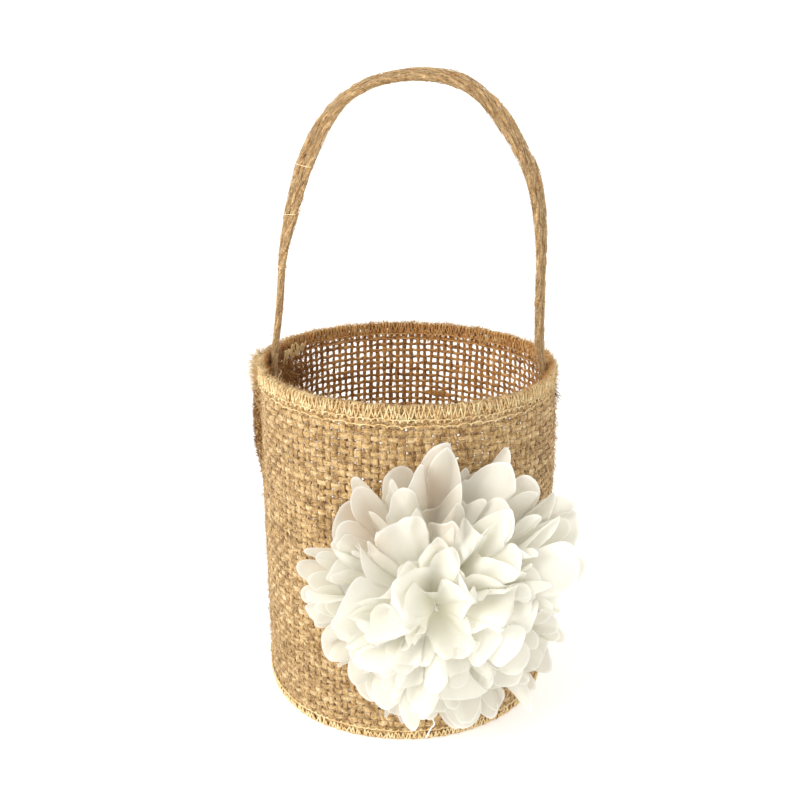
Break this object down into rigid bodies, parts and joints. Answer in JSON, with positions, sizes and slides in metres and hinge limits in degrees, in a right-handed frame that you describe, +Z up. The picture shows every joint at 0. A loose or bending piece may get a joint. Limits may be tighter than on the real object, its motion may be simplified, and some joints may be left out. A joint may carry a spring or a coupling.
{
  "type": "flower girl basket",
  "caption": "Small round burlap pail with an overlocked rim and foot, a side seam, a fold-over jute strap handle and a layered white chiffon flower on the front.",
  "frame": {"origin": "centre of the ring that the basket stands on", "axes": "+Z up out of the mouth, +X from the side-seam end of the handle to its other end, the flower on the -Y side"},
  "size_m": [0.1115, 0.1285, 0.2086],
  "materials": {
    "burlap": "coarse plain weave of jute yarn",
    "overlock_thread": "spun thread",
    "jute": "two-ply twisted twine, hairy",
    "glue": "hot melt",
    "felt": "felt",
    "chiffon": "sheer, heat-cut edges",
    "white_thread": "spun thread"
  },
  "bodies": {
    "basket": {"wall_panel": "burlap", "base_disc": "burlap", "rim_overlock_stitch": "overlock_thread", "base_overlock_stitch": "overlock_thread", "side_seam_overlock_stitch": "overlock_thread", "handle_end_left": "jute", "handle_end_right": "jute", "handle_tack_left": "overlock_thread", "handle_tack_right": "overlock_thread", "flower_glue_pad": "glue", "flower_felt_backing": "felt", "petal_layer_1": "chiffon", "petal_layer_2": "chiffon", "petal_layer_3": "chiffon", "petal_layer_4": "chiffon", "petal_layer_5": "chiffon", "petal_layer_6": "chiffon", "petal_layer_7": "chiffon", "petal_layer_8": "chiffon", "petal_layer_9": "chiffon", "flower_center_stitch": "white_thread"},
    "handle": {"handle_twine_front": "jute", "handle_twine_middle": "jute", "handle_twine_back": "jute"}
  },
  "joints": [
    {"name": "handle_fold", "type": "hinge", "parent": "basket", "child": "handle", "pos_m": [0, 0, 0.117], "axis": [1, 0, 0], "range_deg": [-78, 78]}
  ]
}
